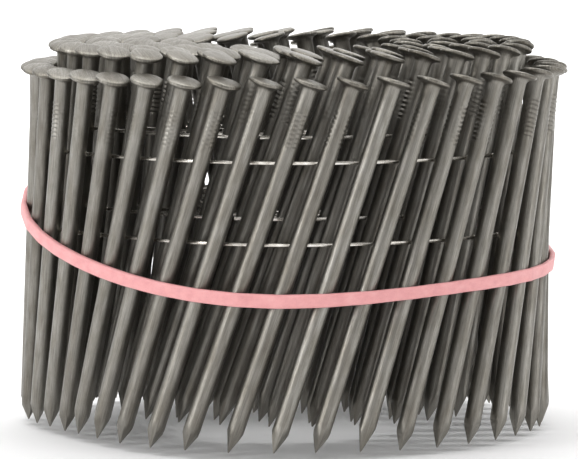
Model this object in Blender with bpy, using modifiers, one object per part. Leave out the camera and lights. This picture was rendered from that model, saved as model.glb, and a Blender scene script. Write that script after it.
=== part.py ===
"""A coil of wire-collated nails, held by a rubber band.

The nails stand points down and are welded, one after another, to an upper and a lower wire.
That strip is wound into a spiral whose axis is +Z. The outermost turn has settled lower than
the turns inside it. Units are metres. The origin is on the winding axis' foot, moved to the
middle of the coil's bounding box, at the level of the lowest nail point.
"""

from math import atan2, cos, pi, radians, sin, sqrt, tan

import bmesh
import bpy
from mathutils import Matrix, Vector

# One nail
NAIL_LENGTH = 0.057
SHANK_DIAMETER = 0.0025
HEAD_DIAMETER = 0.0052
HEAD_EDGE = 0.0007
HEAD_CONE = 0.0009
POINT_LENGTH = 0.0048
OUTER_SIDES = 8
INNER_SIDES = 6

# The collation
NAIL_PITCH = 0.00622
WIRE_DIAMETER = 0.0008
WIRE_DEPTHS = {"upper": 0.0127, "lower": 0.0252}
FIT_GAP = 0.0003
HINGE_GAP = 0.0005
WELD_BITE = 0.0004
TURN_GAP = 0.0012
TAIL_PITCHES = 0.4
OUTER_INSET = SHANK_DIAMETER / 2 + FIT_GAP + WIRE_DIAMETER / 2

# How the nails stand: slanted along the strip, and the whole coil leaning to +X
SKEW = radians(16.0)
LEAN = radians(2.9)
PIVOT_DEPTH = 0.0205
TUCK = 0.0062
TUCK_CENTRE = radians(224.5)
TUCK_HALF_WIDTH = radians(54.0)

# The spiral, along which the angle grows towards the free end
FREE_END = radians(435.5)
OUTER_START = FREE_END - 2 * pi
OUTER_RADIUS = 0.0378
OUTER_RADIUS_AT = radians(186.0)
OUTER_GROWTH = 0.0035
NESTED_GAP = 0.0042
FLUSH_GAP = 0.0056
SPRING_OUT = FLUSH_GAP - OUTER_GROWTH
SPRING_FROM = radians(345.0)
NESTED_TO = radians(380.0)
NESTING_ARC = radians(80.0)
INNER_TURNS = 4
DROP = 0.0034
DROP_FROM = 0.0
DROP_TO = radians(165.0)
LEADING_LINKS = 4

# The rubber band
BAND_HEIGHT = 0.0020
BAND_THICKNESS = 0.0009
BAND_LEVEL = 0.0290
BAND_PITCH = radians(8.4)
BAND_ROLL = radians(6.0)
BAND_WARP = 0.0021
BAND_POINTS = 80
BAND_CLEAR = 0.0006
SHANK_POINTS = 24
CHORD_MARGIN = 1.5

STEEL = ("bright_steel_wire", (0.27, 0.26, 0.24, 1.0), 0.34, 1.0)
TIE_WIRE = ("collation_wire", (0.42, 0.37, 0.30, 1.0), 0.25, 1.0)
RUBBER = ("pink_rubber", (0.84, 0.40, 0.41, 1.0), 0.55, 0.0)

UP = Vector((0.0, 0.0, 1.0))


def smooth(value):
    """0 up to value 0, 1 from value 1, with a level start and end."""
    value = min(max(value, 0.0), 1.0)
    return value * value * (3.0 - 2.0 * value)


def material(name, colour, roughness, metallic):
    made = bpy.data.materials.new(name)
    made.use_nodes = True
    shader = made.node_tree.nodes["Principled BSDF"]
    shader.inputs["Base Color"].default_value = colour
    shader.inputs["Roughness"].default_value = roughness
    shader.inputs["Metallic"].default_value = metallic
    return made


def collection(name):
    made = bpy.data.collections.new(name)
    bpy.context.scene.collection.children.link(made)
    return made


# ---- the spiral ----


def turn_gap(angle):
    """Radial distance from the strip at this angle to the turn inside it."""
    nested = smooth((angle - OUTER_START) / NESTING_ARC) * smooth((NESTED_TO - angle) / NESTING_ARC)
    return FLUSH_GAP - (FLUSH_GAP - NESTED_GAP) * nested


def spiral_radius(angle):
    if angle < OUTER_START:
        return spiral_radius(angle + 2 * pi) - turn_gap(angle + 2 * pi)
    spring = SPRING_OUT * smooth((angle - SPRING_FROM) / (FREE_END - SPRING_FROM))
    return OUTER_RADIUS + OUTER_GROWTH * (angle - OUTER_RADIUS_AT) / (2 * pi) + spring


def lift(angle):
    """How far a nail stands above the outermost turn, which has dropped."""
    return DROP * (1.0 - smooth((angle - DROP_FROM) / (DROP_TO - DROP_FROM)))


def tuck(angle):
    """Slope by which points lean in to the axis, over one part of the circle."""
    off_centre = (angle - TUCK_CENTRE + pi) % (2 * pi) - pi
    share = min(abs(off_centre) / TUCK_HALF_WIDTH, 1.0)
    return TUCK / NAIL_LENGTH * 0.5 * (1.0 + cos(pi * share))


def nail_line(angle):
    """(middle of the head's top, direction from point to head) of the nail at this angle."""
    outward = Vector((cos(angle), sin(angle), 0.0))
    along = Vector((-sin(angle), cos(angle), 0.0))
    direction = along * sin(SKEW) + UP * cos(SKEW) + outward * tuck(angle)
    direction.x += tan(LEAN)
    direction.normalize()
    pivot = outward * (spiral_radius(angle) - PIVOT_DEPTH * tuck(angle))
    pivot.z = (NAIL_LENGTH - PIVOT_DEPTH) * cos(SKEW) + lift(angle)
    return pivot + direction * PIVOT_DEPTH, direction


def nail_angles():
    """Angle of each nail, from the free end inwards, one pitch apart."""
    angles = [FREE_END]
    while angles[-1] > OUTER_START - 2 * pi * INNER_TURNS:
        angles.append(angles[-1] - NAIL_PITCH / spiral_radius(angles[-1]))
    return angles[:-1]


def wire_point(angle, depth, inset):
    """Point on the strip's inner side, at this depth below the heads."""
    head, direction = nail_line(angle)
    on_axis = head - direction * depth
    inward = Vector((-on_axis.x, -on_axis.y, 0.0))
    inward = (inward - direction * inward.dot(direction)).normalized()
    return on_axis + inward * inset


def origin_shift():
    """From the winding axis' foot to the middle of the coil's foot."""
    lows, highs = Vector((1.0, 1.0, 1.0)), Vector((-1.0, -1.0, -1.0))
    rim = HEAD_DIAMETER / 2
    for angle in nail_angles():
        head, direction = nail_line(angle)
        point = head - direction * NAIL_LENGTH
        for axis in range(3):
            reach = rim * sqrt(1.0 - direction[axis] ** 2)
            lows[axis] = min(lows[axis], point[axis], head[axis] - reach)
            highs[axis] = max(highs[axis], point[axis], head[axis] + reach)
    return Vector((-(lows.x + highs.x) / 2, -(lows.y + highs.y) / 2, -lows.z))


# ---- meshes ----


def add_object(name, data, group, finish):
    made = bpy.data.objects.new(name, data)
    if finish and hasattr(data, "materials") and not data.materials:
        data.materials.append(finish)
    group.objects.link(made)
    return made


def turned_nail_mesh(name, sides):
    """A nail as a turned profile: its head's top is at the origin and its point at -Z."""
    shank, rim = SHANK_DIAMETER / 2, HEAD_DIAMETER / 2
    profile = [
        (0.0, 0.0),
        (rim, 0.0),
        (rim, -HEAD_EDGE),
        (shank, -HEAD_EDGE - HEAD_CONE),
        (shank, -NAIL_LENGTH + POINT_LENGTH),
        (0.0, -NAIL_LENGTH),
    ]
    mesh = bmesh.new()
    rows = [mesh.verts.new((x, 0.0, z)) for x, z in profile]
    for above, below in zip(rows, rows[1:]):
        mesh.edges.new((above, below))
    bmesh.ops.spin(
        mesh,
        geom=mesh.verts[:] + mesh.edges[:],
        cent=(0.0, 0.0, 0.0),
        axis=(0.0, 0.0, 1.0),
        angle=2 * pi,
        steps=sides,
        use_merge=True,
    )
    bmesh.ops.remove_doubles(mesh, verts=mesh.verts[:], dist=1e-6)
    bmesh.ops.dissolve_degenerate(mesh, edges=mesh.edges[:], dist=1e-7)
    bmesh.ops.recalc_face_normals(mesh, faces=mesh.faces[:])
    made = bpy.data.meshes.new(name)
    mesh.to_mesh(made)
    mesh.free()
    return made


def nail_matrix(angle, shift):
    """Puts the nail mesh at this angle, with one flat of its shank towards the wires."""
    head, direction = nail_line(angle)
    outward = Vector((cos(angle), sin(angle), 0.0))
    side = direction.cross(outward).normalized()
    front = side.cross(direction)
    turn = Matrix((front, side, direction)).transposed().to_4x4()
    return Matrix.Translation(head + shift) @ turn


def wire_curve(name, points, sides_resolution):
    curve = bpy.data.curves.new(name, "CURVE")
    curve.dimensions = "3D"
    curve.bevel_depth = WIRE_DIAMETER / 2
    curve.bevel_resolution = sides_resolution
    curve.use_fill_caps = True
    spline = curve.splines.new("POLY")
    spline.points.add(len(points) - 1)
    for knot, point in zip(spline.points, points):
        knot.co = (*point, 1.0)
    return curve


def curve_as_mesh(curve, name):
    """The curve's swept solid as a mesh with its caps welded."""
    holder = bpy.data.objects.new(name, curve)
    bpy.context.scene.collection.objects.link(holder)
    graph = bpy.context.evaluated_depsgraph_get()
    mesh = bpy.data.meshes.new_from_object(holder.evaluated_get(graph))
    bpy.data.objects.remove(holder)
    welded = bmesh.new()
    welded.from_mesh(mesh)
    bmesh.ops.remove_doubles(welded, verts=welded.verts[:], dist=1e-6)
    bmesh.ops.recalc_face_normals(welded, faces=welded.faces[:])
    welded.to_mesh(mesh)
    welded.free()
    return mesh


# ---- the pieces ----


def outer_wire_points(angles, depth, from_index, to_index, shift):
    """The outer turn's wire, past the nails from_index to to_index (angles fall)."""
    passed = angles[from_index : to_index + 1]
    return [wire_point(angle, depth, OUTER_INSET) + shift for angle in passed]


def between(first, second, share):
    return first + (second - first) * share


def build_outer_turn(angles, group, steel, tie_wire, shift):
    """Every nail of the outer turn, its two wires, and the stubs of the leading links."""
    count = sum(angle > OUTER_START for angle in angles)
    nail_mesh = turned_nail_mesh("nail", OUTER_SIDES)
    nail_mesh.materials.append(steel)
    stub_gap = HINGE_GAP / 2 / NAIL_PITCH
    hinges = []
    for index in range(LEADING_LINKS):
        ends = {}
        for level, depth in WIRE_DEPTHS.items():
            first, second = outer_wire_points(angles, depth, index, index + 1, shift)
            ends[level] = between(first, second, 0.5)
        pivot = bpy.data.objects.new(f"peel_axis_{index + 1}", None)
        pivot.empty_display_size = 0.005
        axis = (ends["lower"] - ends["upper"]).normalized()
        pivot.matrix_world = Matrix.Translation(between(ends["upper"], ends["lower"], 0.5)) @ (
            UP.rotation_difference(axis).to_matrix().to_4x4()
        )
        group.objects.link(pivot)
        hinges.append(pivot)
    for index in range(count):
        nail = add_object(f"nail_{index + 1:02d}", nail_mesh, group, None)
        nail.matrix_world = nail_matrix(angles[index], shift)
        if index < LEADING_LINKS:
            parent_keeping_place(nail, hinges[index])
    for level, depth in WIRE_DEPTHS.items():
        row = outer_wire_points(angles, depth, 0, count - 1, shift)
        for index in range(LEADING_LINKS):
            before = row[index - 1] if index else row[0] * 2 - row[1]
            reach = 0.5 - stub_gap
            points = [
                between(row[index], before, reach),
                row[index],
                between(row[index], row[index + 1], reach),
            ]
            name = f"link_{index + 1}_{level}_wire"
            stub = add_object(name, wire_curve(name, points, 1), group, tie_wire)
            parent_keeping_place(stub, hinges[index])
        start = between(row[LEADING_LINKS - 1], row[LEADING_LINKS], 0.5 + stub_gap)
        last = angles[count - 1]
        tail_angle = last - TAIL_PITCHES * NAIL_PITCH / spiral_radius(last)
        tail = wire_point(tail_angle, depth, OUTER_INSET) + shift
        name = f"outer_{level}_wire"
        curve = wire_curve(name, [start, *row[LEADING_LINKS:], tail], 1)
        add_object(name, curve, group, tie_wire)
    return count


def parent_keeping_place(child, parent):
    bpy.context.view_layer.update()
    placed = child.matrix_world.copy()
    child.parent = parent
    child.matrix_parent_inverse = parent.matrix_world.inverted()
    child.matrix_world = placed


def build_inner_length(name, angles, group, helpers, steel, shift):
    """Half of an inner turn as welded: its nails and both wires in a single solid."""
    nail = turned_nail_mesh(f"{name}_nail", INNER_SIDES)
    joined = bmesh.new()
    for angle in angles:
        placed = nail.copy()
        placed.transform(nail_matrix(angle, shift))
        joined.from_mesh(placed)
        bpy.data.meshes.remove(placed)
    bpy.data.meshes.remove(nail)
    nails = bpy.data.meshes.new(name)
    joined.to_mesh(nails)
    joined.free()
    wires = bmesh.new()
    inset = SHANK_DIAMETER / 2 + WIRE_DIAMETER / 2 - WELD_BITE
    for level, depth in WIRE_DEPTHS.items():
        step = NAIL_PITCH / spiral_radius(angles[0])
        reach = 0.5 - TURN_GAP / 2 / NAIL_PITCH
        route = [angles[0] + reach * step, *angles, angles[-1] - reach * step]
        points = [wire_point(angle, depth, inset) + shift for angle in route]
        swept = curve_as_mesh(wire_curve(f"{name}_{level}", points, 0), f"{name}_{level}")
        wires.from_mesh(swept)
        bpy.data.meshes.remove(swept)
    wire_mesh = bpy.data.meshes.new(f"{name}_wires")
    wires.to_mesh(wire_mesh)
    wires.free()
    welded_on = add_object(f"{name}_wires", wire_mesh, helpers, steel)
    welded_on.hide_render = True
    welded_on.display_type = "WIRE"
    turn = add_object(name, nails, group, steel)
    weld = turn.modifiers.new("weld", "BOOLEAN")
    weld.operation = "UNION"
    weld.object = welded_on


def hull(points):
    """The convex outline around plan points, counter-clockwise."""
    ordered = sorted((point.x, point.y) for point in points)

    def half(row):
        kept = []
        for x, y in row:
            while len(kept) > 1 and turns_right(kept[-2], kept[-1], (x, y)):
                kept.pop()
            kept.append((x, y))
        return kept[:-1]

    return half(ordered) + half(ordered[::-1])


def turns_right(first, second, third):
    across = (second[0] - first[0]) * (third[1] - first[1])
    return across <= (second[1] - first[1]) * (third[0] - first[0])


def band_height(x, y):
    """Level of the band's middle over a plan point around the winding axis."""
    warp = BAND_WARP * sin(2 * atan2(y, x))
    return BAND_LEVEL + tan(BAND_PITCH) * y - tan(BAND_ROLL) * x - warp


def build_band(angles, group, rubber, shift):
    """A flat rubber loop, stretched around the outer turn's shanks in a tilted plane."""
    clear = SHANK_DIAMETER / 2 + BAND_CLEAR
    rim = []
    for angle in angles:
        head, direction = nail_line(angle)
        at = head - direction * (NAIL_LENGTH / 2)
        # A few steps settle where the slanted shank meets the tilted band
        for _ in range(4):
            at += direction * (band_height(at.x, at.y) - at.z) / direction.z
        for step in range(SHANK_POINTS):
            around = 2 * pi * step / SHANK_POINTS
            rim.append(at + Vector((cos(around), sin(around), 0.0)) * clear)
    outline = hull(rim)
    mesh = bmesh.new()
    lower, upper = [], []
    across = Vector((tan(BAND_ROLL), -tan(BAND_PITCH), 1.0)).normalized()
    for x, y in even_loop(outline, BAND_POINTS):
        middle = Vector((x, y, band_height(x, y))) + shift
        lower.append(mesh.verts.new(middle - across * BAND_HEIGHT / 2))
        upper.append(mesh.verts.new(middle + across * BAND_HEIGHT / 2))
    for index in range(BAND_POINTS):
        nxt = (index + 1) % BAND_POINTS
        mesh.faces.new((lower[index], lower[nxt], upper[nxt], upper[index]))
    data = bpy.data.meshes.new("rubber_band")
    mesh.to_mesh(data)
    mesh.free()
    band = add_object("rubber_band", data, group, rubber)
    wall = band.modifiers.new("wall", "SOLIDIFY")
    wall.thickness = BAND_THICKNESS
    wall.offset = 1.0


def even_loop(outline, count):
    """Points evenly spaced around a closed outline, pushed out to clear its corners."""
    closed = [Vector(point) for point in outline]
    closed.append(closed[0])
    lengths = [(b - a).length for a, b in zip(closed, closed[1:])]
    total = sum(lengths)
    centre = sum((Vector(point) for point in outline), Vector((0.0, 0.0))) / len(outline)
    # A chord between two points dips inside the round outline by its sagitta
    sagitta = total / (2 * pi) * (1.0 - cos(pi / count))
    points, edge, run = [], 0, 0.0
    for step in range(count):
        target = total * step / count
        while run + lengths[edge] < target:
            run += lengths[edge]
            edge += 1
        share = (target - run) / lengths[edge]
        at = closed[edge].lerp(closed[edge + 1], share)
        points.append(at + (at - centre).normalized() * sagitta * CHORD_MARGIN)
    return points


def main():
    for leftover in list(bpy.data.objects):
        bpy.data.objects.remove(leftover)
    group = collection("nail_coil")
    helpers = collection("nail_coil_helpers")
    steel, tie_wire, rubber = material(*STEEL), material(*TIE_WIRE), material(*RUBBER)
    shift = origin_shift()
    angles = nail_angles()
    count = build_outer_turn(angles, group, steel, tie_wire, shift)
    inner = angles[count:]
    for length in range(2 * INNER_TURNS):
        high = OUTER_START - pi * length
        own = [angle for angle in inner if high - pi < angle <= high]
        name = f"inner_turn_{length // 2 + 2}_{'ab'[length % 2]}"
        build_inner_length(name, own, group, helpers, steel, shift)
    build_band(angles[:count], group, rubber, shift)


main()
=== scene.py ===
"""Looks of the wire-collated nail coil: detailed nails, welded wires and the rubber band.

The coil's spiral is worked out from the same driving dimensions as the CAD model, in metres,
and moved so that its first nail lies on the frame's nail_01.
"""

import random
from math import atan2, cos, pi, radians, sin, sqrt, tan

import bpy
import numpy as np
from mathutils import Matrix, Vector


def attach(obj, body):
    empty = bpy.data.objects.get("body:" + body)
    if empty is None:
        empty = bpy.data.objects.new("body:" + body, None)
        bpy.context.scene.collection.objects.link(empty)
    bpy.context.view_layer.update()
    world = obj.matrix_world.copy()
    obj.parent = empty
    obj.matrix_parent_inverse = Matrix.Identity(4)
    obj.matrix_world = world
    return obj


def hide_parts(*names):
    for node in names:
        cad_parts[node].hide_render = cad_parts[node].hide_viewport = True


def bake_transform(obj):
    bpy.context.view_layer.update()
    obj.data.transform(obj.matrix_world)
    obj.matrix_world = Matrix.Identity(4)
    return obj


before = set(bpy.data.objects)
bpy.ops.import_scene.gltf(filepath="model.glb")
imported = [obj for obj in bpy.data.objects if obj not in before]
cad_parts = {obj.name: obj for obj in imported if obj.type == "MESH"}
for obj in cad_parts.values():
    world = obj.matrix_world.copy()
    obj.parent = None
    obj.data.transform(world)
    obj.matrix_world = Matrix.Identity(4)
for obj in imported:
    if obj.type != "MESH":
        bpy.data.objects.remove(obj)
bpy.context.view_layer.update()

MM = 0.001

# One nail
NAIL_LENGTH = 0.057
SHANK_RADIUS = 0.00125
HEAD_RADIUS = 0.0026
HEAD_OFF_CENTRE = 0.0001
NAIL_SIDES = 20
POINT_LENGTH = 0.0052
POINT_FLARE = 1.32
POINT_BLUNTNESS = 0.00004
RIDGES_FROM = 0.0042
RIDGES_TO = 0.0104
RIDGES_WANDER = 0.0004
RIDGES_FADE = 0.0003
RIDGE_PITCH = 0.00069
RIDGE_HEIGHT = 0.00014
RINGS_A_RIDGE = 4

# Rings down to this depth have the head's own finish
HEAD_EDGE = 0.0008

# How far a nail may stand above its place, and how far it may swing out of line
SLACK = 0.0001
OUTER_LOOSENESS = 0.006
INNER_LOOSENESS = 0.015

# Painted shade: the inner turns' shanks are darkened to the share of colour below, between these
# depths below the heads
PAINTED_SHADE_FROM = 0.001
PAINTED_SHADE_TO = 0.009
INNER_PAINTED_SHADE = 0.72

# The collation
NAIL_PITCH = 0.00622
WIRE_RADIUS = 0.00027
WIRE_GIRTH_MM = 1.7
WIRE_DEPTHS = {"upper": 0.0127, "lower": 0.0252}
WIRE_SIDES = 8
WIRE_STEPS = 6
WIRE_BOW = 0.00016
WIRE_END_PITCHES = 0.47
FREE_END_PITCHES = 0.45
# Share of its radius by which a wire's or a weld's middle stands off the shank
WIRE_STAND_OFF = 0.55
WELD_STAND_OFF = 0.35
WELD_LENGTH = 0.0009
WELD_SWELL = 0.00010
LEADING_LINKS = 4

# How the nails stand
SKEW = radians(16.0)
LEAN = radians(2.9)
PIVOT_DEPTH = 0.0205
TUCK = 0.0062
TUCK_CENTRE = radians(224.5)
TUCK_HALF_WIDTH = radians(54.0)

# The spiral
FREE_END = radians(435.5)
OUTER_START = FREE_END - 2 * pi
OUTER_RADIUS = 0.0378
OUTER_RADIUS_AT = radians(186.0)
OUTER_GROWTH = 0.0035
NESTED_GAP = 0.0042
FLUSH_GAP = 0.0056
SPRING_OUT = FLUSH_GAP - OUTER_GROWTH
SPRING_FROM = radians(345.0)
NESTED_TO = radians(380.0)
NESTING_ARC = radians(80.0)
INNER_TURNS = 4
DROP = 0.0034
DROP_FROM = 0.0
DROP_TO = radians(165.0)

# The rubber band
BAND_HEIGHT = 0.0020
BAND_THICKNESS = 0.0009
BAND_LEVEL = 0.0290
BAND_PITCH = radians(8.4)
BAND_ROLL = radians(6.0)
BAND_WARP = 0.0021
BAND_POINTS = 300
BAND_SECTION = 16
BAND_SQUARENESS = 0.38
BAND_GIRTH_MM = 6.2
RIM_POINTS = 48
RIM_REACH = 1.04

# The stage
FLOOR_HALF_WIDTH = 2.2
FLOOR_FRONT = -1.2
COVE_FROM = 0.9
COVE_RADIUS = 0.6
COVE_STEPS = 12
BACKDROP_TOP = 2.4

# The camera, in the coil's own frame
CAMERA_DISTANCE = 0.764
CAMERA_ELEVATION = radians(5.13)
CAMERA_LENS = 312.7
CAMERA_TARGET = Vector((0.0010, 0.0, 0.0296))

UP = Vector((0.0, 0.0, 1.0))

# A corner's tone is (tone from nail to nail, share of colour kept under painted shade, 1 on a head,
# alpha)
PLAIN_TONE = (0.5, 1.0, 0.0, 1.0)

chance = random.Random(7)


# ---- the spiral ----


def smooth(value):
    """0 up to value 0, 1 from value 1, with a level start and end."""
    value = min(max(value, 0.0), 1.0)
    return value * value * (3.0 - 2.0 * value)


def turn_gap(angle):
    """Radial distance from the strip at this angle to the turn inside it."""
    nested = smooth((angle - OUTER_START) / NESTING_ARC) * smooth((NESTED_TO - angle) / NESTING_ARC)
    return FLUSH_GAP - (FLUSH_GAP - NESTED_GAP) * nested


def spiral_radius(angle):
    if angle < OUTER_START:
        return spiral_radius(angle + 2 * pi) - turn_gap(angle + 2 * pi)
    spring = SPRING_OUT * smooth((angle - SPRING_FROM) / (FREE_END - SPRING_FROM))
    return OUTER_RADIUS + OUTER_GROWTH * (angle - OUTER_RADIUS_AT) / (2 * pi) + spring


def lift(angle):
    """How far a nail stands above the outermost turn, which has dropped."""
    return DROP * (1.0 - smooth((angle - DROP_FROM) / (DROP_TO - DROP_FROM)))


def tuck(angle):
    """Slope by which points lean in to the axis, over one part of the circle."""
    off_centre = (angle - TUCK_CENTRE + pi) % (2 * pi) - pi
    share = min(abs(off_centre) / TUCK_HALF_WIDTH, 1.0)
    return TUCK / NAIL_LENGTH * 0.5 * (1.0 + cos(pi * share))


def nail_line(angle):
    """(middle of the head's top, direction from point to head) of the nail at this angle."""
    outward = Vector((cos(angle), sin(angle), 0.0))
    along = Vector((-sin(angle), cos(angle), 0.0))
    direction = along * sin(SKEW) + UP * cos(SKEW) + outward * tuck(angle)
    direction.x += tan(LEAN)
    direction.normalize()
    pivot = outward * (spiral_radius(angle) - PIVOT_DEPTH * tuck(angle))
    pivot.z = (NAIL_LENGTH - PIVOT_DEPTH) * cos(SKEW) + lift(angle)
    return pivot + direction * PIVOT_DEPTH, direction


def nail_angles():
    """Angle of each nail, from the free end inwards, one pitch apart."""
    angles = [FREE_END]
    while angles[-1] > OUTER_START - 2 * pi * INNER_TURNS:
        angles.append(angles[-1] - NAIL_PITCH / spiral_radius(angles[-1]))
    return angles[:-1]


def wire_point(angle, depth, inset):
    """Point on the strip's inner side, at this depth below the heads."""
    head, direction = nail_line(angle)
    on_axis = head - direction * depth
    inward = Vector((-on_axis.x, -on_axis.y, 0.0))
    inward = (inward - direction * inward.dot(direction)).normalized()
    return on_axis + inward * inset


def frame_shift():
    """Shift from the spiral's own axes to the frame's, by the point of the first CAD nail."""
    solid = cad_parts["nail_01"].data
    points = np.array([vertex.co[:] for vertex in solid.vertices])
    head, direction = nail_line(FREE_END)
    reach = points @ np.array(direction)
    foot = points[reach.argmin()]
    return Vector(foot) - (head - direction * NAIL_LENGTH)


SHIFT = frame_shift()


# ---- mesh helpers ----


def placed_in_scene(name, data):
    made = bpy.data.objects.new(name, data)
    bpy.context.scene.collection.objects.link(made)
    return made


def new_piece(name, data, body, slot, *nodes):
    piece = placed_in_scene(name, data)
    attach(piece, body)
    if nodes:
        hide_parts(*nodes)


class Builder:
    """Collects skins of rings into one mesh, with UVs and a tone for each ring."""

    def __init__(self):
        self.points, self.faces, self.uvs, self.tones, self.slots = [], [], [], [], []

    def tube(self, rings, uv_rows, tones, slot=0, looped=False):
        """Skins rings of equal size. Each ring has a (u, v) row of size + 1 and a tone."""
        count, size = len(rings), len(rings[0])
        base = len(self.points)
        for ring in rings:
            self.points.extend(map(tuple, ring))
        spans = count if looped else count - 1
        for row in range(spans):
            nxt = (row + 1) % count
            for side in range(size):
                other = (side + 1) % size
                low, high = base + row * size, base + nxt * size
                self.faces.append((low + side, low + other, high + other, high + side))
                u0, u1 = uv_rows[row][side], uv_rows[row][side + 1]
                v0, v1 = uv_rows[nxt][side + 1], uv_rows[nxt][side]
                self.uvs.extend((u0, u1, v0, v1))
                self.tones.extend((tones[row], tones[row], tones[nxt], tones[nxt]))
                self.slots.append(slot)
        if not looped:
            last = base + (count - 1) * size
            self.faces.append(tuple(base + side for side in reversed(range(size))))
            self.faces.append(tuple(last + side for side in range(size)))
            for row in (0, count - 1):
                middle = uv_rows[row][0]
                self.uvs.extend([middle] * size)
                self.tones.extend([tones[row]] * size)
                self.slots.append(slot)

    def mesh(self, name, materials, sharp=radians(38)):
        data = bpy.data.meshes.new(name)
        data.from_pydata(self.points, [], self.faces)
        for finish in materials:
            data.materials.append(finish)
        layer = data.uv_layers.new(name="UVMap")
        layer.data.foreach_set("uv", np.array(self.uvs, dtype=np.float32).ravel())
        tone_and_painted_shade = data.color_attributes.new(name="tone_and_painted_shade", type="FLOAT_COLOR", domain="CORNER")
        tone_and_painted_shade.data.foreach_set("color", np.array(self.tones, dtype=np.float32).ravel())
        data.polygons.foreach_set("material_index", np.array(self.slots, dtype=np.int32))
        data.shade_smooth()
        data.set_sharp_from_angle(angle=sharp)
        data.update()
        return data


# ---- one nail ----


def nail_profile():
    """(distance below the head's top, radius) rows from the head's middle to the point."""
    rows = [
        (0.00, 0.05),
        (0.01, 1.30),
        (0.05, 2.05),
        (0.10, 2.36),
        (0.20, 2.54),
        (0.36, 2.60),
        (0.50, 2.56),
        (0.62, 2.44),
        (0.72, 2.16),
        (0.86, 1.74),
        (1.08, 1.44),
        (1.45, 1.28),
        (2.60, 1.25),
        (3.70, 1.25),
    ]
    rows = [(depth * MM, radius * MM) for depth, radius in rows]
    ridge_rings = int(round((RIDGES_TO - RIDGES_FROM) / RIDGE_PITCH * RINGS_A_RIDGE))
    rows += [
        (RIDGES_FROM + step * RIDGE_PITCH / RINGS_A_RIDGE, SHANK_RADIUS)
        for step in range(ridge_rings + 1)
    ]
    rows += [(depth * MM, SHANK_RADIUS) for depth in (11.2, 18, 26, 34, 42, 49)]
    rows += [
        (NAIL_LENGTH - POINT_LENGTH * share, SHANK_RADIUS)
        for share in (1.0, 0.92, 0.84, 0.75, 0.62, 0.48, 0.34, 0.2, 0.08, 0.015)
    ]
    return np.array(rows)


PROFILE = nail_profile()
AROUND = np.arange(NAIL_SIDES + 1) * 2 * pi / NAIL_SIDES


def head_wobble(around):
    """Share by which a head's outline leaves its circle: a little out of round, one flat side."""
    first, second = chance.uniform(0, 2 * pi), chance.uniform(0, 2 * pi)
    wobble = 0.022 * np.cos(2 * around + first) + 0.018 * np.cos(3 * around + second)
    flat = np.maximum(0, np.cos(around - second) - 0.86) * chance.uniform(0.0, 1.1)
    return (wobble - 0.02 - flat)[None, :]


def ridges(around, depths, facing):
    """Height of the ridges rolled into two opposite sides of the shank."""
    sides = np.clip((np.abs(np.cos(around - facing)) - 0.45) / 0.35, 0, 1)
    start = RIDGES_FROM + chance.uniform(-1, 1) * RIDGES_WANDER
    inside = np.clip((depths - start) / RIDGES_FADE, 0, 1)
    inside = inside * np.clip((RIDGES_TO - depths) / RIDGES_FADE, 0, 1)
    wave = np.cos((depths - RIDGES_FROM) / RIDGE_PITCH * 2 * pi)
    height = RIDGE_HEIGHT * chance.uniform(0.4, 1.0) ** 2
    return height * (wave * 0.75 - 0.1) * inside * sides[None, :]


def point_facets(around, depths, facing):
    """Radius left by the four flat facets that cut the round wire to a diamond point."""
    left = np.maximum(NAIL_LENGTH - depths, 0.0)
    turn = around - facing - chance.uniform(0.2, 0.6)
    to_facet = np.abs((turn + pi / 4) % (pi / 2) - pi / 4)
    slope = POINT_FLARE * SHANK_RADIUS / POINT_LENGTH
    facet = (left * slope + POINT_BLUNTNESS) / np.cos(to_facet)[None, :]
    return np.where(depths > NAIL_LENGTH - 1.3 * POINT_LENGTH, facet, np.inf)


def nail_uvs():
    """Each ring's (u, v) row in millimetres: plan view on the head, unrolled on the shank."""
    u_from, v_from = chance.uniform(0, 50), chance.uniform(0, 50)
    rows = []
    for depth, radius in PROFILE / MM:
        if depth > HEAD_EDGE / MM:
            rows.append([(u_from + a * SHANK_RADIUS / MM, v_from + depth) for a in AROUND])
        else:
            rows.append([(u_from + radius * cos(a), v_from + radius * sin(a)) for a in AROUND])
    return rows


def nail_rings():
    """One nail's rings in its own frame: the head's top at the origin, the point at -Z."""
    around = AROUND[:-1]
    depths = PROFILE[:, 0][:, None] + np.zeros_like(around)[None, :]
    radii = PROFILE[:, 1][:, None] * np.ones_like(around)[None, :]
    # edge is 0 on the shank and 1 at the head's rim
    edge = np.clip((radii - SHANK_RADIUS) / (HEAD_RADIUS - SHANK_RADIUS), 0, 1)
    radii = radii * (1 + edge * head_wobble(around))
    facing = chance.uniform(0, pi)
    radii = radii + ridges(around, depths, facing)
    radii = np.minimum(radii, point_facets(around, depths, facing))
    x, y = radii * np.cos(around)[None, :], radii * np.sin(around)[None, :]
    off = np.array([chance.uniform(-1, 1), chance.uniform(-1, 1)]) * HEAD_OFF_CENTRE
    x, y = x + edge * off[0], y + edge * off[1]
    # Heads sit a degree or two off square
    tip_x, tip_y = chance.uniform(-0.035, 0.035), chance.uniform(-0.035, 0.035)
    z = -depths + edge * (x * tip_x + y * tip_y) - edge * 0.00006
    return np.stack([x, y, z], axis=-1)


def nail_matrix(angle, loose):
    """Where the nail at this angle stands, with a slight looseness of its own."""
    head, direction = nail_line(angle)
    outward = Vector((cos(angle), sin(angle), 0.0))
    along = direction.cross(outward)
    pivot = head - direction * PIVOT_DEPTH
    swing = outward * chance.uniform(-1, 1) * 0.35 + along * chance.uniform(-1, 1)
    direction = (direction + swing * loose).normalized()
    side = direction.cross(outward).normalized()
    turn = Matrix((side.cross(direction), side, direction)).transposed().to_4x4()
    top = pivot + direction * (PIVOT_DEPTH + chance.uniform(0.2, 1.0) * SLACK)
    return Matrix.Translation(top + SHIFT) @ turn


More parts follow.
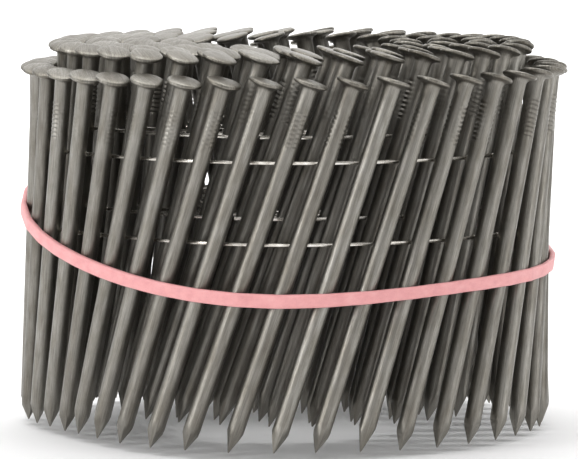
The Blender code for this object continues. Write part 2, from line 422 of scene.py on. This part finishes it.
def add_nail(builder, angle, shank_painted_shade=1.0, loose=OUTER_LOOSENESS):
    """One nail. Its shank keeps the given share of its colour under painted shade, from 0 to 1."""
    rings, uvs = nail_rings(), nail_uvs()
    place = np.array(nail_matrix(angle, loose))
    placed = rings @ place[:3, :3].T + place[:3, 3]
    shade = chance.random()
    tones = []
    for depth, _ in PROFILE:
        # Painted shade: below the head the shank's colour falls to the given share, between the two
        # depths
        painted_shade_mask = smooth((depth - PAINTED_SHADE_FROM) / (PAINTED_SHADE_TO - PAINTED_SHADE_FROM))
        kept = 1.0 - (1.0 - shank_painted_shade) * painted_shade_mask
        on_head = 1.0 if depth < HEAD_EDGE else 0.0
        tones.append((shade, kept, on_head, 1.0))
    builder.tube([row[::-1] for row in placed], [row[::-1] for row in uvs], tones)


# ---- wires ----


def pitch_at(angle):
    """Angle that one nail pitch takes up here."""
    return NAIL_PITCH / spiral_radius(angle)


def wire_route(angles, depth):
    """Smooth points along the strip's inner side, past nails at these (falling) angles."""
    inset = SHANK_RADIUS + WIRE_RADIUS * WIRE_STAND_OFF
    points = []
    for high, low in zip(angles, angles[1:]):
        for step in range(WIRE_STEPS):
            share = step / WIRE_STEPS
            angle = high + (low - high) * share
            bow = WIRE_BOW * sin(pi * share)
            points.append(wire_point(angle, depth, inset + bow) + SHIFT)
    points.append(wire_point(angles[-1], depth, inset) + SHIFT)
    return points


def cross_axes(ahead):
    """The level direction across a wire that runs this way, and the one square to both."""
    side = ahead.cross(UP).normalized()
    return side, side.cross(ahead)


def add_wire(builder, points, slot=0):
    """A round wire through these points."""
    rings, uvs, run = [], [], 0.0
    for index, point in enumerate(points):
        before = points[max(index - 1, 0)]
        after = points[min(index + 1, len(points) - 1)]
        side, top = cross_axes((after - before).normalized())
        run += (point - before).length
        ring = []
        for step in range(WIRE_SIDES):
            around = 2 * pi * step / WIRE_SIDES
            ring.append(tuple(point + (side * cos(around) + top * sin(around)) * WIRE_RADIUS))
        rings.append(ring)
        row = [(step / WIRE_SIDES * WIRE_GIRTH_MM, run / MM) for step in range(WIRE_SIDES + 1)]
        uvs.append(row)
    builder.tube(rings, uvs, [PLAIN_TONE] * len(rings), slot)


def add_weld(builder, angle, depth, slot=0):
    """The squashed nugget where the wire meets a nail."""
    inset = SHANK_RADIUS + WIRE_RADIUS * WELD_STAND_OFF
    middle = wire_point(angle, depth, inset) + SHIFT
    before, after = (wire_point(angle + turn, depth, inset) for turn in (-0.01, 0.01))
    ahead = (after - before).normalized()
    side, top = cross_axes(ahead)
    length = WELD_LENGTH * chance.uniform(0.8, 1.2)
    rings, uvs = [], []
    for share in (-1.0, -0.8, -0.4, 0.0, 0.4, 0.8, 1.0):
        radius = WIRE_RADIUS * 0.85 + sqrt(max(1.0 - share * share, 0.0)) * WELD_SWELL
        ring = []
        for step in range(WIRE_SIDES):
            around = 2 * pi * step / WIRE_SIDES
            out = (side * cos(around) * 0.8 + top * sin(around) * 1.15) * radius
            ring.append(tuple(middle + ahead * length / 2 * share + out))
        rings.append(ring)
        uvs.append([(step / WIRE_SIDES, share) for step in range(WIRE_SIDES + 1)])
    builder.tube(rings, uvs, [PLAIN_TONE] * len(rings), slot)


# ---- materials ----


def shader_of(name):
    """(new material, its nodes, its links, its Principled BSDF)"""
    made = bpy.data.materials.new(name)
    made.use_nodes = True
    nodes, links = made.node_tree.nodes, made.node_tree.links
    return made, nodes, links, nodes["Principled BSDF"]


def uv_node(nodes):
    made = nodes.new("ShaderNodeUVMap")
    made.uv_map = "UVMap"
    return made


def add_bump(nodes, links, shader, height, strength, distance):
    bump = nodes.new("ShaderNodeBump")
    bump.inputs["Strength"].default_value = strength
    bump.inputs["Distance"].default_value = distance
    links.new(height, bump.inputs["Height"])
    links.new(bump.outputs["Normal"], shader.inputs["Normal"])


def uv_noise(nodes, links, uv, stretch, scale, detail, roughness=0.55):
    """Noise over the UVs, stretched by a scale along u and one along v."""
    mapping = nodes.new("ShaderNodeMapping")
    mapping.inputs["Scale"].default_value = (*stretch, 1)
    links.new(uv.outputs["UV"], mapping.inputs["Vector"])
    made = nodes.new("ShaderNodeTexNoise")
    made.inputs["Scale"].default_value = scale
    made.inputs["Detail"].default_value = detail
    made.inputs["Roughness"].default_value = roughness
    links.new(mapping.outputs["Vector"], made.inputs["Vector"])
    return made.outputs["Fac"]


def ramp(nodes, links, source, *stops):
    made = nodes.new("ShaderNodeValToRGB")
    while len(made.color_ramp.elements) < len(stops):
        made.color_ramp.elements.new(0.5)
    for element, (place, colour) in zip(made.color_ramp.elements, stops):
        element.position = place
        element.color = (*colour, 1.0)
    links.new(source, made.inputs["Fac"])
    return made.outputs["Color"]


def mixed(nodes, links, kind, factor, first, second):
    made = nodes.new("ShaderNodeMix")
    made.data_type = "RGBA"
    made.blend_type = kind
    if isinstance(factor, float):
        made.inputs["Factor"].default_value = factor
    else:
        links.new(factor, made.inputs["Factor"])
    links.new(first, made.inputs["A"])
    links.new(second, made.inputs["B"])
    return made.outputs["Result"]


def steel_material():
    """Drawn nail wire: fine streaks along the shank, stains and flecks, pits on the heads, painted
    shade on the inner turns' shanks.
    """
    made, nodes, links, shader = shader_of("drawn_nail_steel")
    shader.inputs["Metallic"].default_value = 1.0
    uv = uv_node(nodes)
    streaks = uv_noise(nodes, links, uv, (3.2, 0.09), 2.4, 6.0, 0.62)
    stains = uv_noise(nodes, links, uv, (0.55, 0.16), 1.1, 5.0, 0.6)
    specks = uv_noise(nodes, links, uv, (1.6, 0.9), 3.1, 8.0, 0.7)
    pits = uv_noise(nodes, links, uv, (1, 1), 3.6, 5.0, 0.7)
    drawn = uv_noise(nodes, links, uv, (5.0, 0.05), 2.2, 4.0, 0.6)
    base = ramp(
        nodes,
        links,
        streaks,
        (0.30, (0.190, 0.182, 0.165)),
        (0.50, (0.270, 0.260, 0.238)),
        (0.72, (0.360, 0.349, 0.324)),
    )
    stained = ramp(nodes, links, stains, (0.36, (0.66, 0.63, 0.58)), (0.60, (1.0, 1.0, 1.0)))
    base = mixed(nodes, links, "MULTIPLY", 0.7, base, stained)
    fleck = ramp(nodes, links, specks, (0.30, (0.55, 0.52, 0.48)), (0.44, (1.0, 1.0, 1.0)))
    base = mixed(nodes, links, "MULTIPLY", 0.35, base, fleck)
    # The tone of a corner: red is the nail's own tone, green the share kept under painted shade,
    # blue 1 on a head
    tone_and_painted_shade = nodes.new("ShaderNodeAttribute")
    tone_and_painted_shade.attribute_name = "tone_and_painted_shade"
    split = nodes.new("ShaderNodeSeparateColor")
    links.new(tone_and_painted_shade.outputs["Color"], split.inputs["Color"])
    shade, kept, on_head = (split.outputs[name] for name in ("Red", "Green", "Blue"))
    by_nail = ramp(nodes, links, shade, (0.0, (0.84, 0.83, 0.81)), (1.0, (1.08, 1.08, 1.07)))
    base = mixed(nodes, links, "MULTIPLY", 1.0, base, by_nail)
    # Painted shade: the inner turns' shanks darken by the share kept
    base = mixed(nodes, links, "MULTIPLY", 1.0, base, kept)
    pitted = ramp(nodes, links, pits, (0.34, (0.62, 0.61, 0.59)), (0.62, (1.08, 1.07, 1.05)))
    pitted = mixed(nodes, links, "MULTIPLY", 1.0, base, pitted)
    base = mixed(nodes, links, "MIX", on_head, base, pitted)
    links.new(base, shader.inputs["Base Color"])
    rough = ramp(nodes, links, streaks, (0.3, (0.50,) * 3), (0.7, (0.33,) * 3))
    speckled = ramp(nodes, links, specks, (0.3, (1.25,) * 3), (0.6, (0.9,) * 3))
    rough = mixed(nodes, links, "MULTIPLY", 0.5, rough, speckled)
    links.new(rough, shader.inputs["Roughness"])
    marks = mixed(nodes, links, "ADD", 0.4, drawn, specks)
    relief = mixed(nodes, links, "MIX", on_head, marks, pits)
    add_bump(nodes, links, shader, relief, 0.35, 0.00010)
    return made


def wire_material():
    """Bright collation wire, a little warm in colour, with duller patches."""
    made, nodes, links, shader = shader_of("collation_wire")
    shader.inputs["Metallic"].default_value = 1.0
    patches = uv_noise(nodes, links, uv_node(nodes), (1.0, 0.5), 1.6, 4.0)
    base = ramp(
        nodes,
        links,
        patches,
        (0.32, (0.44, 0.41, 0.36)),
        (0.52, (0.68, 0.65, 0.59)),
        (0.70, (0.84, 0.82, 0.77)),
    )
    links.new(base, shader.inputs["Base Color"])
    rough = ramp(nodes, links, patches, (0.3, (0.34,) * 3), (0.7, (0.18,) * 3))
    links.new(rough, shader.inputs["Roughness"])
    return made


def rubber_material():
    """Pink rubber with paler patches and a fine grain."""
    made, nodes, links, shader = shader_of("pink_band_rubber")
    shader.inputs["Roughness"].default_value = 0.58
    shader.inputs["Subsurface Weight"].default_value = 0.12
    shader.inputs["Subsurface Radius"].default_value = (0.0012, 0.0006, 0.0005)
    uv = uv_node(nodes)
    patches = uv_noise(nodes, links, uv, (0.9, 0.35), 1.3, 6.0, 0.65)
    grain = uv_noise(nodes, links, uv, (3.0, 2.2), 4.0, 5.0, 0.6)
    base = ramp(
        nodes,
        links,
        patches,
        (0.30, (0.700, 0.300, 0.305)),
        (0.52, (0.780, 0.360, 0.362)),
        (0.74, (0.830, 0.425, 0.425)),
    )
    soft = ramp(nodes, links, grain, (0.3, (0.90, 0.88, 0.88)), (0.6, (1.0, 1.0, 1.0)))
    links.new(mixed(nodes, links, "MULTIPLY", 0.7, base, soft), shader.inputs["Base Color"])
    add_bump(nodes, links, shader, grain, 0.22, 0.00006)
    return made


STEEL = steel_material()
WIRE = wire_material()
RUBBER = rubber_material()


# ---- the pieces ----


def body_of_nail(index):
    return f"link_{index + 1}" if index < LEADING_LINKS else "coil"


def build_outer_turn(angles):
    """The outermost turn: a piece for each nail, and its wires beyond the leading nails."""
    for index, angle in enumerate(angles):
        builder = Builder()
        add_nail(builder, angle)
        name = f"nail_{index + 1:02d}"
        data = builder.mesh(f"{name}_detail", [STEEL])
        new_piece(f"{name}_detail", data, body_of_nail(index), "nail_steel", name)
    wired = angles[LEADING_LINKS:]
    tail = wired[-1] - WIRE_END_PITCHES * pitch_at(wired[-1])
    for level, depth in WIRE_DEPTHS.items():
        builder = Builder()
        add_wire(builder, wire_route([*wired, tail], depth))
        for angle in wired:
            add_weld(builder, angle, depth)
        name = f"outer_{level}_wire"
        data = builder.mesh(f"{name}_detail", [WIRE])
        new_piece(f"{name}_detail", data, "coil", "tie_wire", name)
        build_free_wire_end(angles, level, depth)
        for index in range(LEADING_LINKS):
            build_link_wire(angles, index, level, depth)


def build_free_wire_end(angles, level, depth):
    """The cut end of a wire, past the leading nail."""
    builder = Builder()
    cut = angles[0] + FREE_END_PITCHES * (angles[0] - angles[1])
    add_wire(builder, wire_route([cut, angles[0]], depth))
    add_weld(builder, angles[0], depth)
    data = builder.mesh(f"free_{level}_wire_end", [WIRE])
    new_piece(f"free_{level}_wire_end", data, "link_1", "tie_wire")


def build_link_wire(angles, index, level, depth):
    """The wire from one leading nail to the next."""
    builder = Builder()
    route = wire_route([angles[index], angles[index + 1]], depth)
    add_wire(builder, route)
    name = f"link_{index + 1}_{level}_wire"
    piece = placed_in_scene(f"{name}_detail", builder.mesh(f"{name}_detail", [WIRE]))
    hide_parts(name)
    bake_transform(piece)


def build_inner_length(name, angles):
    """Half an inner turn: its nails, and its wires with their welds."""
    builder = Builder()
    for angle in angles:
        # The inner turns' shanks get painted shade
        add_nail(builder, angle, INNER_PAINTED_SHADE, INNER_LOOSENESS)
    overhang = WIRE_END_PITCHES * pitch_at(angles[0])
    for depth in WIRE_DEPTHS.values():
        ends = angles[0] + overhang, angles[-1] - overhang
        add_wire(builder, wire_route([ends[0], *angles, ends[1]], depth), slot=1)
        for angle in angles:
            add_weld(builder, angle, depth, slot=1)
    data = builder.mesh(f"{name}_detail", [STEEL, WIRE])
    new_piece(f"{name}_detail", data, "coil", "nail_steel", name)


def turns_right(first, second, third):
    """Whether three plan points in a row turn clockwise or run straight."""
    across = (second[0] - first[0]) * (third[1] - first[1])
    return across <= (second[1] - first[1]) * (third[0] - first[0])


def hull(points):
    """The convex outline around plan points, counter-clockwise."""
    ordered = sorted(points)

    def half(row):
        kept = []
        for point in row:
            while len(kept) > 1 and turns_right(kept[-2], kept[-1], point):
                kept.pop()
            kept.append(point)
        return kept[:-1]

    return half(ordered) + half(ordered[::-1])


def band_height(x, y):
    """Level of the band's middle over a plan point around the winding axis."""
    warp = BAND_WARP * sin(2 * atan2(y, x))
    return BAND_LEVEL + tan(BAND_PITCH) * y - tan(BAND_ROLL) * x - warp


def band_outline(angles):
    """Where the stretched band's inner side runs in plan: taut around the shanks."""
    rim = []
    for angle in angles:
        head, direction = nail_line(angle)
        at = head - direction * (NAIL_LENGTH / 2)
        # Each round slides the point along the nail, closer to the band's level
        for _ in range(4):
            at = at + direction * (band_height(at.x, at.y) - at.z) / direction.z
        reach = SHANK_RADIUS * RIM_REACH
        for step in range(RIM_POINTS):
            around = 2 * pi * step / RIM_POINTS
            rim.append((at.x + cos(around) * reach, at.y + sin(around) * reach))
    return [Vector(point) for point in hull(rim)]


def even_loop(outline, count):
    """(count points at even steps along a closed outline, its whole length)"""
    closed = [*outline, outline[0]]
    lengths = [(b - a).length for a, b in zip(closed, closed[1:])]
    total, points, edge, run = sum(lengths), [], 0, 0.0
    for step in range(count):
        target = total * step / count
        while run + lengths[edge] < target:
            run += lengths[edge]
            edge += 1
        points.append(closed[edge].lerp(closed[edge + 1], (target - run) / lengths[edge]))
    return points, total


def squared(value):
    """A cosine or sine pushed towards 1 or -1, which turns a circle into a rounded square."""
    return abs(value) ** BAND_SQUARENESS * (1 if value > 0 else -1)


SECTION = [
    (squared(cos(2 * pi * step / BAND_SECTION)), squared(sin(2 * pi * step / BAND_SECTION)))
    for step in range(BAND_SECTION)
]


def build_band(angles):
    loop, total = even_loop(band_outline(angles), BAND_POINTS)
    centre = sum(loop, Vector((0.0, 0.0))) / len(loop)
    builder = Builder()
    rings, uvs = [], []
    across = Vector((tan(BAND_ROLL), -tan(BAND_PITCH), 1.0)).normalized()
    for index, plan in enumerate(loop):
        before, after = loop[index - 1], loop[(index + 1) % BAND_POINTS]
        ahead = (after - before).normalized()
        outward = Vector((ahead.y, -ahead.x, 0.0))
        if outward.x * (plan.x - centre.x) + outward.y * (plan.y - centre.y) < 0:
            outward = -outward
        around = atan2(plan.y - centre.y, plan.x - centre.x)
        # The band's height, level and tilt wander a little round the loop
        height = BAND_HEIGHT * (1.0 + 0.05 * sin(3 * around + 0.7) + 0.03 * sin(7 * around))
        drift = 0.00022 * sin(2 * around + 2.1) + 0.00012 * sin(5 * around)
        rock = 0.10 * sin(4 * around + 1.0)
        middle = Vector((plan.x, plan.y, band_height(plan.x, plan.y) + drift)) + SHIFT
        middle += outward * (BAND_THICKNESS / 2)
        up = (across + outward * rock * 0.35).normalized()
        ring = [
            tuple(middle + outward * wide * BAND_THICKNESS / 2 + up * tall * height / 2)
            for wide, tall in SECTION
        ]
        rings.append(ring[::-1])
        run = index / BAND_POINTS * total / MM
        uvs.append([(step / BAND_SECTION * BAND_GIRTH_MM, run) for step in range(BAND_SECTION + 1)])
    builder.tube(rings, uvs, [PLAIN_TONE] * len(rings), looped=True)
    data = builder.mesh("rubber_band_detail", [RUBBER], sharp=radians(60))
    new_piece("rubber_band_detail", data, "band", "band_rubber", "rubber_band")


# ---- stage ----


def build_stage():
    """A pale floor that curves up into a backdrop."""
    profile = [(FLOOR_FRONT, 0.0), (COVE_FROM, 0.0)]
    for step in range(1, COVE_STEPS + 1):
        turn = step / COVE_STEPS * pi / 2
        profile.append((COVE_FROM + COVE_RADIUS * sin(turn), COVE_RADIUS * (1 - cos(turn))))
    profile.append((COVE_FROM + COVE_RADIUS, BACKDROP_TOP))
    points, faces = [], []
    for y, z in profile:
        points += [(-FLOOR_HALF_WIDTH, y, z), (FLOOR_HALF_WIDTH, y, z)]
    for row in range(len(profile) - 1):
        faces.append((2 * row, 2 * row + 1, 2 * row + 3, 2 * row + 2))
    data = bpy.data.meshes.new("floor")
    data.from_pydata(points, [], faces)
    data.shade_smooth()
    made, _, _, shader = shader_of("pale_floor")
    shader.inputs["Base Color"].default_value = (0.90, 0.90, 0.90, 1.0)
    shader.inputs["Roughness"].default_value = 0.9
    shader.inputs["Specular IOR Level"].default_value = 0.1
    data.materials.append(made)
    floor = placed_in_scene("floor", data)


def add_light(name, place, target, size, power):
    """A soft box of this width and height at place, turned to the target, in watts."""
    data = bpy.data.lights.new(name, "AREA")
    data.shape = "RECTANGLE"
    data.size, data.size_y = size
    data.energy = power
    light = placed_in_scene(name, data)
    light.location = place
    light.rotation_euler = (Vector(target) - Vector(place)).to_track_quat("-Z", "Y").to_euler()


def build_lights():
    middle = (0.0, 0.0, 0.03)
    add_light("left", (-1.0, -0.60, 0.35), middle, (0.4, 0.8), 6.2)
    add_light("right", (1.0, -0.60, 0.30), middle, (0.5, 0.8), 3.2)
    add_light("front", (-0.15, -1.2, 0.9), middle, (1.0, 0.5), 1.6)
    add_light("top", (-0.1, 0.1, 1.1), middle, (1.0, 0.8), 2.2)
    add_light("backdrop", (0.0, 0.3, 1.2), (0.0, 1.4, 0.3), (2.4, 0.6), 30.0)
    world = bpy.data.worlds.new("studio")
    bpy.context.scene.world = world
    world.use_nodes = True
    sky = world.node_tree.nodes["Background"]
    sky.inputs["Color"].default_value = (1.0, 1.0, 1.0, 1.0)
    sky.inputs["Strength"].default_value = 0.50


def build_camera():
    target = CAMERA_TARGET + SHIFT
    back = Vector((0.0, -cos(CAMERA_ELEVATION), sin(CAMERA_ELEVATION)))
    data = bpy.data.cameras.new("camera")
    data.lens = CAMERA_LENS
    data.sensor_width = 36.0
    data.clip_start = 0.05
    data.clip_end = 10.0
    camera = placed_in_scene("camera", data)
    camera.location = target + back * CAMERA_DISTANCE
    camera.rotation_euler = (-back).to_track_quat("-Z", "Y").to_euler()
    bpy.context.scene.camera = camera


def main():
    angles = nail_angles()
    count = sum(angle > OUTER_START for angle in angles)
    build_outer_turn(angles[:count])
    for length in range(2 * INNER_TURNS):
        high = OUTER_START - pi * length
        own = [angle for angle in angles[count:] if high - pi < angle <= high]
        build_inner_length(f"inner_turn_{length // 2 + 2}_{'ab'[length % 2]}", own)
    build_band(angles[:count])
    build_stage()
    build_lights()
    build_camera()
    bpy.context.scene.view_settings.view_transform = "Standard"


main()
